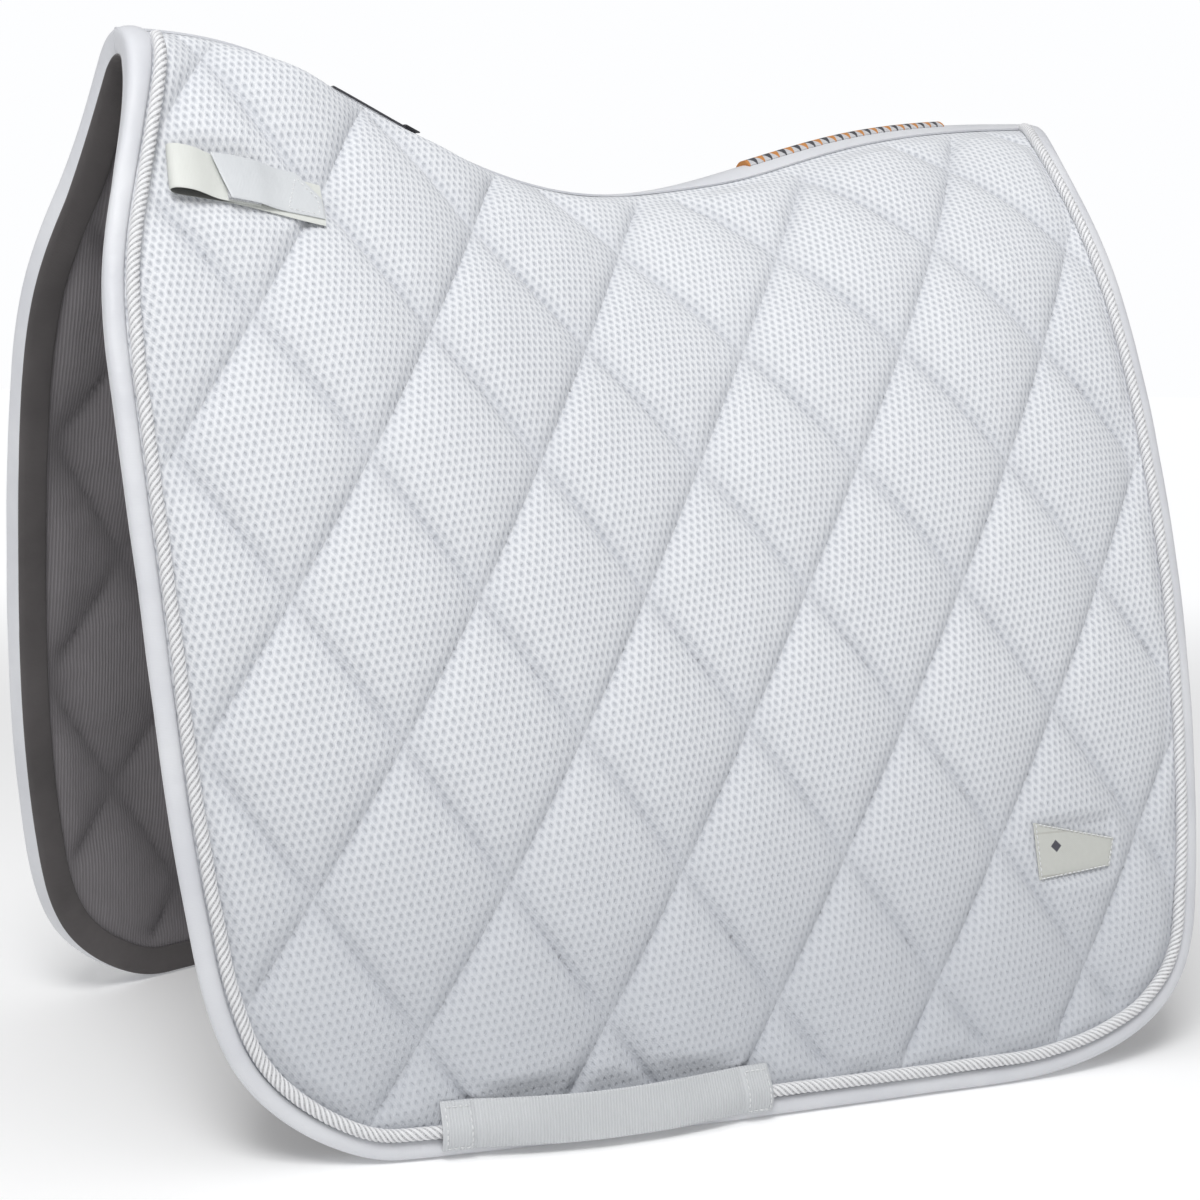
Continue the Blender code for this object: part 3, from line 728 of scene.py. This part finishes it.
def add_lining(label, side, paint):
    x, t = side_grid(180, 165, CLOTH_INSET)
    full = fullness(x, t)
    free = smooth(15 * MM, 30 * MM, from_edge(x, t)) * smooth(16 * MM, 34 * MM, drop(x) - t)
    rise = LINING_PILLOW * full - LINING_SEAM * (1 - full) ** 1.3
    rise += 0.6 * MM * full * waves(x / 0.020, t / 0.020, 15)
    rise += 0.8 * MM * full * (1 - full) * 3 * waves(x / 0.015, t / 0.005, 16)
    rise *= free
    # Mask of the painted shade in the lining's quilting seams.
    valley_shade = free * (1 - full) ** 1.6
    back = place(x, t, LINING_BACK, side)
    face = place(x, t, LINING_FACE + rise, side)
    nodes = [f"lining_{part}_{label}" for part in ("flap", "yoke")]
    uv = np.stack([x, t], -1)
    item = closed_sheet(f"quilted_lining_{label}", (face, back), uv, paint, "lining", nodes, side)
    set_attribute(item, "valley_shade", [valley_shade, 0 * valley_shade])


def edge_nodes(kind, label):
    """CAD nodes of a trim that runs round the whole edge of one side."""
    return [f"{kind}_{run}_{label}" for run in ("flap", "yoke_front", "yoke_rear")]


def add_binding(label, side, paint):
    """White tape folded round the edge, softly creased where it turns."""
    length = np.linspace(0, EDGE_END, 841)[:, None]
    outer = np.array((
        (9.2, -0.6), (8.7, -1.2), (7.5, -1.9), (5.8, -2.35), (4.0, -2.4), (2.3, -2.05), (0.95, -1.3),
        (0.15, -0.2), (-0.1, 1.6), (-0.2, 4.0), (-0.2, 7.0), (-0.05, 9.6), (0.35, 11.6),
    )) * MM
    inner = np.array((
        (9.2, -0.3), (8.7, -0.35), (7.5, -0.4), (5.8, -0.4), (4.0, -0.4), (2.4, -0.35), (1.5, 0.1),
        (1.1, 0.8), (0.9, 2.0), (0.8, 4.0), (0.8, 7.0), (0.9, 9.6), (1.0, 11.6),
    )) * MM
    share = np.linspace(0, 1, len(outer))[None, :]
    crease = waves(length / 0.011, share * 2.5, 21) + 0.6 * waves(length / 0.005, share * 4 + 9, 22)
    crease = crease * 0.28 * MM * np.sin(np.pi * np.clip(share * 1.9, 0, 1))
    curve = 0.25 * MM * waves(length / 0.03, share * 0, 23)
    wider = 1 + front_flare(length) / BINDING_WIDTH
    faces = [
        place(*edge_at(length, profile[:, 0] * wider + curve), profile[:, 1] - fold, side)
        for profile, fold in ((outer, crease), (inner, 0))
    ]
    across = path_length(outer)
    uv = grid_of(length, across[None, :])
    nodes = edge_nodes("binding", label)
    closed_sheet(f"edge_binding_{label}", faces, uv, paint, "binding", nodes, side)


def add_inner_binding(label, side, paint):
    length = np.linspace(0, EDGE_END, 560)[:, None]
    inset = np.array((0.3, 1.2, 4, 8, 12, 15.5, 16.8, 17.2))[None, :] * MM
    crown = np.array((11.9, 12.4, 12.7, 12.9, 12.8, 12.6, 12.3, 11.7))[None, :] * MM
    ripple = 0.25 * MM * waves(length / 0.012, inset / 0.006, 31)
    face = place(*edge_at(length, inset), crown + ripple, side)
    back = place(*edge_at(length, inset), 11.4 * MM, side)
    uv = grid_of(length, inset)
    nodes = edge_nodes("inner_binding", label)
    closed_sheet(f"lining_binding_{label}", (face, back), uv, paint, "inner_binding", nodes, side)


def add_cord(label, side, paint):
    """Twisted cord of five strands, sewn down just inside the binding."""
    turns, pie = 30, np.pi / CORD_STRANDS
    length = np.arange(7 * MM, EDGE_END - 16 * MM, 0.9 * MM)
    to_end = np.minimum(length - length[0], length[-1] - length)
    seat = (2.6 - 3.0 * (1 - smooth(0, 0.022, to_end))) * MM
    inset = CORD_INSET + 0.25 * MM * waves(length / 0.02, length * 0, 41) + front_flare(length)
    spots = edge_at(length, inset)
    centres = place(*spots, -seat, side)
    out = place(*spots, -seat - 2 * MM, side) - centres
    angle = np.arange(turns) * 2 * np.pi / turns
    turn = angle[None, :] + 2 * np.pi * length[:, None] / CORD_LAY * side
    off = (turn + pie) % (2 * pie) - pie
    radius = STRAND_CENTRE * np.cos(off) + np.sqrt(STRAND_RADIUS**2 - (STRAND_CENTRE * np.sin(off)) ** 2)
    radius *= np.clip(to_end[:, None] / (2 * MM), 0.35, 1)
    nodes = edge_nodes("rope", label)
    around = -side * ((angle + np.pi) % (2 * np.pi) - np.pi) / (2 * np.pi)
    uv = grid_of(length[:, None], around)
    item = round_tube(f"piped_cord_{label}", centres, out, radius, uv, paint, "piping", nodes, side)
    # Painted shade in the grooves between the strands.
    set_attribute(item, "crevice_shade", (np.abs(off) / pie) ** 3)


# ---------------- tapes and labels


def strip_on_spine(name, ends, half, depths, crown, *rest):
    """Tape on the spine seam: half(x) is its half width, crown its rise in the middle as a share of that."""
    count = max(8, int((ends[1] - ends[0]) / (4 * MM)))
    x = np.linspace(*ends, count + 1)[:, None]
    v = np.array((-1, -0.97, -0.85, -0.65, -0.4, -0.15, 0, 0.15, 0.4, 0.65, 0.85, 0.97, 1))[None, :]
    x, v = np.broadcast_arrays(x, v)
    width = half(x)
    faces = []
    for face, depth in enumerate(depths):
        depth = depth - (crown * width * (1 - v**2) if face == 0 else 0 * x)
        reach = np.abs(v) * width
        if depths[1] > 0:
            reach = reach + crease_start(x, depth)
        left, right = (place(x, drop(x) - reach, depth, side) for side in (-1, 1))
        points = np.where((v < 0)[..., None], left, right)
        points[:, 6, 1] = 0
        faces.append(points)
    closed_sheet(name, faces, np.stack([x, v * width], -1), *rest)


def even_half(half):
    """Half width of a tape that is equally wide all along."""
    return lambda x: half * MM + 0 * x


def add_spine(tape, dark_tape, dark_label, pale_label):
    """Tapes and labels on the ridge: ends along x, half width, depths in millimetres, crown, looks, node."""
    rows = (
        ("spine_binding", (0.0765, 0.690), spine_tape_half, (-1.5, -0.35), 1.8 / 15.5,
         tape, "binding", ["spine_tape"]),
        ("spine_lining_tape", (0.098, 0.664), even_half(14.0), (12.9, 11.9), 0.0,
         dark_tape, "inner_binding", ["spine_tape_inner"]),
        ("withers_label", (0.193, 0.241), even_half(2.6), (-2.6, -1.7), 0.3 / 2.6,
         dark_label, "dark_label", ["spine_label_front"]),
        ("withers_label_end", (0.2345, 0.2425), even_half(4.2), (-3.4, -2.65), 0.2 / 4.2,
         dark_label, "dark_label", None),
        ("croup_label", (0.464, 0.616), even_half(6.2), (-3.6, -3.0), 2.4 / 6.2,
         pale_label, "woven_label", ["spine_label_rear"]),
    )
    for name, ends, half, depths, *rest in rows:
        strip_on_spine(name, ends, half, [depth * MM for depth in depths], *rest, "yoke")


def billet_point(along, up):
    """Point (x, t) of the billet strap: along it from the loop end and up across it."""
    x = BILLET_FRONT[0] + along * BILLET_DIRECTION[0] - up * BILLET_DIRECTION[1]
    return x, BILLET_FRONT[1] + along * BILLET_DIRECTION[1] + up * BILLET_DIRECTION[0]


def on_billet(along, up, out, side):
    """World positions of points of the billet strap that lie out from the shell."""
    return place(*billet_point(along, up), -out, side)


def smooth_path(path, count):
    """Even points on a smooth run through a path of (along, out) in millimetres."""
    path = np.array(path, float) * MM
    length = path_length(path)
    fine = np.linspace(0, length[-1], count)
    return np.stack([natural_curve(length, path[:, i])(fine) for i in (0, 1)], -1)


def bent_strap(name, path, thickness, sink, side, *rest):
    """Tape on a path along the billet strap, with rounded edges; its first end lies lower by sink."""
    middle = smooth_path(path, 90)
    run = np.gradient(middle, axis=0)
    run /= np.hypot(*run.T)[:, None]
    square = np.stack([-run[:, 1], run[:, 0]], -1)
    v = np.array((-1, -0.96, -0.85, -0.5, 0, 0.5, 0.85, 0.96, 1))
    half = thickness / 2 * np.array((0.3, 0.8, 1, 1, 1, 1, 1, 0.8, 0.3))
    length = path_length(middle)
    lower = sink * smooth(55 * MM, 0, length)[:, None]
    sides = []
    for sign in (1, -1):
        spot = middle[:, None] + sign * square[:, None] * half[None, :, None]
        sides.append(on_billet(spot[..., 0], v * BILLET_HALF - lower, spot[..., 1], side))
    uv = grid_of(length[:, None], v * BILLET_HALF)
    item = closed_sheet(name, sides, uv, *rest)
    # Painted shade inside the loop: the inner face is marked from the fold to about 34 mm along.
    inside = np.repeat(1 - smooth(24 * MM, 34 * MM, middle[:, 0]), len(v))
    set_attribute(item, "crevice_shade", [0 * inside, inside])


def flat_patch(name, extent, side, *rest):
    """Flat patch on the billet strap: where it starts and ends along it, and its lower and upper face."""
    start, end, low, high = (value * MM for value in extent)
    share = np.array((0, 0.03, 0.1, 0.25, 0.4, 0.55, 0.7, 0.85, 0.96, 1))[:, None]
    v = np.array((-1, -0.96, -0.8, -0.4, 0, 0.4, 0.8, 0.96, 1))[None, :]
    along = start + share * (end - start)
    inside = np.minimum(np.minimum(share, 1 - share) / 0.04, (1 - np.abs(v)) / 0.05)
    top = low + (high - low) * (0.45 + 0.55 * np.clip(inside, 0, 1))
    faces = [on_billet(along, v * PATCH_HALF, out, side) for out in (top, low + 0 * top)]
    closed_sheet(name, faces, grid_of(along, v * PATCH_HALF), *rest)


def fine_at_ends(end, few, many):
    """Steps from 0 to 1 that are closer together near both ends."""
    runs = (np.linspace(0, end, few), np.linspace(end, 1 - end, many), np.linspace(1 - end, 1, few))
    return np.unique(np.concatenate(runs))


def closing_tab(name, side, *rest):
    """Tape from the sewn rear end of the billet strap, over the loop, to the loose end that closes it."""
    profile = (
        (21, 5.0), (30, 5.3), (38, 5.25), (44, 4.7), (50, 3.0), (55, 2.1), (62, 1.75), (76, 1.6),
    )
    height = natural_curve(*(np.array(profile).T * MM))
    v = np.array((-1, -0.97, -0.88, -0.6, -0.3, 0, 0.3, 0.6, 0.88, 0.97, 1))[None, :]
    share = fine_at_ends(0.03, 4, 60)
    start = 25 * MM - 4 * MM * v
    end = 76.5 * MM - 12 * MM * np.maximum(0, v)
    along = start + share[:, None] * (end - start)
    rim = np.minimum(np.minimum(share, 1 - share)[:, None] / 0.02, (1 - np.abs(v)) / 0.04)
    half = 0.42 * MM * (0.35 + 0.65 * np.clip(rim, 0, 1))
    middle = height(along) + 0.3 * MM * waves(along / 0.014, v * 1.1 + 5, 61)
    faces = [on_billet(along, v * BILLET_HALF, middle + sign * half, side) for sign in (1, -1)]
    uv = grid_of(along, v * BILLET_HALF)
    closed_sheet(name, faces, uv, *rest)


def add_billet_strap(label, side, paints, thread):
    """Looped tape with hook and loop, its closing tab and the stitching of the sewn rear end."""
    loop = (
        (77, 0.85), (60, 0.85), (44, 0.9), (30, 0.9), (14, 0.9), (6, 1.0), (1.6, 2.1), (0.3, 3.9),
        (1.5, 5.9), (5.5, 7.2), (11, 7.0), (17, 5.0), (23, 2.7), (31, 2.0), (44, 2.0),
    )
    bent_strap(f"billet_loop_tape_{label}", loop, 0.8 * MM, 3.4 * MM, side,
               paints["cream"], "billet_tape", [f"billet_loop_{label}"], "yoke")
    flat_patch(f"loop_pile_{label}", (28, 44, 2.75, 3.5), side,
               paints["loops"], "hook_and_loop", [f"loop_patch_{label}"], "yoke")
    bend = [on_billet(along * MM, 0.0, 2.1 * MM, side) for along in (56.5, 48.5)]
    closing_tab(f"billet_closing_tab_{label}", side, paints["grey_white"], "billet_tape",
                [f"billet_tab_{label}", f"billet_anchor_{label}"], (f"tab_{label}", *bend))
    flat_patch(f"hook_pile_{label}", (28, 37, 3.9, 4.7), side,
               paints["hooks"], "hook_and_loop", [f"hook_patch_{label}"], f"tab_{label}")
    corners = ((64, 9.5), (58, -10.5), (74, -10.5), (74, -1), (64, 9.5))
    corners = [(*billet_point(along * MM, up * MM), 2.0 * MM) for along, up in corners]
    seams = [corners[1::-1], corners[1:3], corners[2:4], corners[3:]]
    add_stitches(f"billet_stitching_{label}", seams, side, thread, "billet_tape", "yoke")


def girth_top(x, t, side):
    """Height of the girth webbing's upper and lower face above the shell."""
    share = (x - GIRTH_X[0]) / (GIRTH_X[1] - GIRTH_X[0])
    from_end = np.minimum(share, 1 - share)
    free = np.sin(np.clip((from_end - 0.09) / 0.41, 0, 1) * np.pi / 2)
    held = np.interp(t, np.array((4, 10, 16, 27)) * MM, np.array((3.0, 6.7, 6.7, 0.6)) * MM)
    out = held * (1 - free) + 10.5 * MM * free + 0.35 * MM * waves(x / 0.02, t / 0.012, 51)
    doubled = 1.0 * MM * (1 - smooth(0.082, 0.094, from_end))
    doubled = doubled - 0.5 * MM * np.exp(-((from_end - 0.096) / 0.004) ** 2)
    edge = np.interp(t, np.array((4, 4.5, 26.5, 27)) * MM, [0.4, 1, 1, 0.4])
    thick = (1.1 * MM * edge + doubled) * (0.5 + 0.5 * smooth(0, 0.006, from_end))
    return out + thick, out


def add_girth_strap(label, side, paint, thread):
    """Webbing sewn over the cord at both ends, slack between them."""
    share = fine_at_ends(0.1, 16, 60)
    x = (GIRTH_X[0] + share * (GIRTH_X[1] - GIRTH_X[0]))[:, None]
    t = np.array((4, 4.5, 6, 8.5, 11, 13.5, 16, 18.5, 21, 23.5, 25.5, 26.5, 27))[None, :] * MM
    x, t = np.broadcast_arrays(x, t)
    faces = [place(x, t, -height, side) for height in girth_top(x, t, side)]
    closed_sheet(f"girth_webbing_{label}", faces, np.stack([x, t], -1),
                 paint, "webbing", [f"girth_strap_{label}"], f"flap_{label}")
    seams = []
    for front, rear in ((2, 13.5), (154.5, 166)):
        corners = ((front, 6), (rear, 6), (rear, 25), (front, 25), (front, 6))
        for (x0, t0), (x1, t1) in zip(corners, corners[1:]):
            fine = np.linspace(0, 1, 9)
            xs = GIRTH_X[0] + (x0 + fine * (x1 - x0)) * MM
            ts = (t0 + fine * (t1 - t0)) * MM
            seams.append(np.stack([xs, ts, girth_top(xs, ts, side)[0]], -1))
    add_stitches(f"girth_stitching_{label}", seams, side, thread, "webbing", f"flap_{label}")


def add_side_label(paint, thread):
    """Patch with a generic mark, sewn on near the rear lower corner of the left side."""
    low_front, low_rear, high_front, high_rear = (np.array(corner) for corner in SIDE_LABEL)
    a = np.array((0, 0.02, 0.08, 0.25, 0.4, 0.5, 0.6, 0.75, 0.92, 0.98, 1))[:, None, None]
    b = np.array((0, 0.04, 0.14, 0.3, 0.5, 0.7, 0.86, 0.96, 1))[None, :, None]
    low = low_front + a * (low_rear - low_front)
    high = high_front + a * (high_rear - high_front)
    spot = low + b * (high - low)
    edge = np.clip(np.minimum(np.minimum(a, 1 - a) / 0.03, np.minimum(b, 1 - b) / 0.06)[..., 0], 0, 1)
    face = place(spot[..., 0], spot[..., 1], -(0.45 + 0.65 * (0.35 + 0.65 * edge)) * MM, -1)
    back = place(spot[..., 0], spot[..., 1], -0.45 * MM, -1)
    middle = (low_front + low_rear + high_front + high_rear) / 4
    closed_sheet("flap_label", (face, back), spot - middle, paint, "side_label", ["side_label"], "flap_left")
    corners = (low_front, low_rear, high_rear, high_front, low_front)
    corners = [corner + 0.045 * (middle - corner) for corner in corners]
    seams = [[(*first, 1.15 * MM), (*second, 1.15 * MM)] for first, second in zip(corners, corners[1:])]
    add_stitches("label_stitching", seams, -1, thread, "side_label", "flap_left")


def add_stitches(name, runs, side, paint, slot, body):
    """Rows of short raised stitches; each run is a list of (x, t, out) that the seam follows."""
    points, quads, uvs = [], [], []
    for run in runs:
        run = np.array(run)
        length = path_length(run[:, :2])
        for begin in np.arange(0, length[-1] - STITCH_PITCH * 0.6, STITCH_PITCH):
            where = begin + np.array((0.06, 0.25, 0.5, 0.75, 0.94)) * STITCH_PITCH * 0.86
            x, t, out = (np.interp(where, length, run[:, i]) for i in range(3))
            lift = np.array((-0.2, 0.22, 0.34, 0.22, -0.2)) * MM
            centre = place(x, t, -out - lift, side)
            up = place(x, t, -out - lift - MM, side) - centre
            up /= np.linalg.norm(up, axis=1, keepdims=True)
            ahead = centre[-1] - centre[0]
            beside = np.cross(up, ahead / np.linalg.norm(ahead))
            girth = THREAD_RADIUS * np.array((0.5, 1, 1.1, 1, 0.5))
            turn = np.arange(6) * np.pi / 3
            ring = centre[:, None] + girth[:, None, None] * (
                np.cos(turn)[None, :, None] * beside[:, None] + np.sin(turn)[None, :, None] * up[:, None]
            )
            first = len(points) * 30
            index = first + np.arange(30).reshape(5, 6)
            after = np.roll(index, -1, axis=1)
            quads += np.stack([index[:-1], after[:-1], after[1:], index[1:]], -1).reshape(-1, 4).tolist()
            for end in (index[0], index[-1][::-1]):
                quads += [[end[0], end[3], end[2], end[1]], [end[0], end[5], end[4], end[3]]]
            points.append(ring.reshape(-1, 3))
            uvs.append(np.stack([np.repeat(where, 6), np.tile(turn / 1000, 5)], -1))
    points, quads = np.concatenate(points), np.array(quads)
    new_piece(name, points, outward(points, quads), np.concatenate(uvs), paint, slot, None, body)


# ---------------- the set


def add_floor():
    """Plain pale floor that fades into the white of the studio away from the object."""
    data = bpy.data.meshes.new("floor")
    corners = [(x * 30.0, y * 30.0, 0) for x, y in ((-1, -1), (1, -1), (1, 1), (-1, 1))]
    data.from_pydata(corners, [], [(0, 1, 2, 3)])
    item = new_object("floor", data)
    item.location.z = -1.2 * MM
    paint = Shader("pale_floor", 0.0, 0.5, 0.1)
    spot = paint.node("TexCoord", {}, 3)
    far = paint.ramp(paint.vector("LENGTH", spot), 0.6, 2.6)
    surface = paint.principled.inputs
    paint.feed(surface["Emission Color"], STUDIO_WHITE)
    paint.feed(surface["Emission Strength"], paint.math("MULTIPLY_ADD", far, 0.86, 0.14))
    data.materials.append(paint.finish(paint.mix(far, (0.93, 0.93, 0.93), (0.0, 0.0, 0.0)), 0.9))


def add_light(name, spot, target, size, power):
    lamp = bpy.data.lights.new(name, "AREA")
    lamp.shape = "RECTANGLE"
    lamp.size, lamp.size_y = size
    lamp.energy = power
    item = new_object(name, lamp)
    item.location = spot
    item.rotation_mode = "QUATERNION"
    item.rotation_quaternion = (Vector(target) - Vector(spot)).to_track_quat("-Z", "Y")


def add_lights():
    """Soft studio light from above and the front left; the backdrop itself looks plain white."""
    world = bpy.data.worlds.new("studio")
    world.use_nodes = True
    tree = world.node_tree
    shown = tree.nodes.new("ShaderNodeLightPath").outputs["Is Camera Ray"]
    strength = tree.nodes.new("ShaderNodeMapRange")
    tree.links.new(shown, strength.inputs["Value"])
    strength.inputs["To Min"].default_value = 0.33
    strength.inputs["To Max"].default_value = 1.0
    background = tree.nodes["Background"]
    background.inputs["Color"].default_value = STUDIO_WHITE
    tree.links.new(strength.outputs[0], background.inputs["Strength"])
    bpy.context.scene.world = world
    add_light("key", (-1.15, -1.45, 2.5), (0, -0.1, 0.3), (1.1, 1.1), 43)
    add_light("top", (-0.5, -0.5, 2.6), (0, 0, 0.2), (2.2, 2.0), 18)


def add_camera():
    yaw, pitch, roll = (math.radians(angle) for angle in (-31.76, 6.57, 0.70))
    data = bpy.data.cameras.new("camera")
    data.lens = 59.5
    data.sensor_width = 36
    camera = new_object("camera", data)
    camera.matrix_world = (
        Matrix.Translation((-0.6229, -0.994, 0.374)) @ Matrix.Rotation(yaw, 4, "Z")
        @ Matrix.Rotation(math.pi / 2 - pitch, 4, "X") @ Matrix.Rotation(roll, 4, "Z")
    )
    bpy.context.scene.camera = camera
    bpy.context.scene.view_settings.view_transform = "Standard"


def main():
    white_mesh, grey_lining = mesh_fabric(), lining_fabric()
    white_tape = satin_tape("white_satin_tape", (0.72, 0.73, 0.755), (0.64, 0.65, 0.685))
    dark_tape = satin_tape("dark_tape_inside", (0.135, 0.125, 0.125), (0.10, 0.093, 0.093), 0.75)
    cord = cord_yarn()
    ribbed = webbing()
    thread = sewing_thread("white_thread", (0.86, 0.87, 0.88))
    paints = {
        "cream": satin_tape("cream_billet_tape", (0.70, 0.715, 0.68), (0.65, 0.665, 0.63), 0.5),
        "grey_white": satin_tape("grey_white_billet_tape", (0.66, 0.68, 0.695), (0.60, 0.62, 0.64), 0.5),
        "loops": pile("loop_pile", (0.80, 0.81, 0.82), (0.50, 0.51, 0.53)),
        "hooks": pile("hook_pile", (0.70, 0.71, 0.73), (0.42, 0.43, 0.45)),
    }
    black, blue_black, rust = (0.05, 0.05, 0.06), (0.08, 0.08, 0.10), (0.58, 0.23, 0.05)
    dark_label = woven_label(
        "dark_woven_label", (0.035, 0.035, 0.04), ((0.16, 0.16, 0.17), (0.12, 0.12, 0.13)),
        (0.06, 0.06, 0.07), 8.0, (2.4, 1.3), 2.2
    )
    pale_label = woven_label(
        "pale_woven_label", (0.62, 0.62, 0.64), (rust, black), (0.50, 0.50, 0.52), 5.4, (3.0, 7.5), 9.0
    )
    cream_label = woven_label(
        "cream_side_label", (0.66, 0.67, 0.63), (blue_black, blue_black), (0.55, 0.55, 0.51),
        90.0, (3.4, 3.4), 11.5, (-12.0, 4.0)
    )
    add_spine(white_tape, dark_tape, dark_label, pale_label)
    for label, side in SIDES.items():
        add_shell(label, side, white_mesh)
        add_lining(label, side, grey_lining)
        add_binding(label, side, white_tape)
        add_inner_binding(label, side, dark_tape)
        add_cord(label, side, cord)
        add_billet_strap(label, side, paints, thread)
        add_girth_strap(label, side, ribbed, thread)
    add_side_label(cream_label, thread)
    add_floor()
    add_lights()
    add_camera()


main()
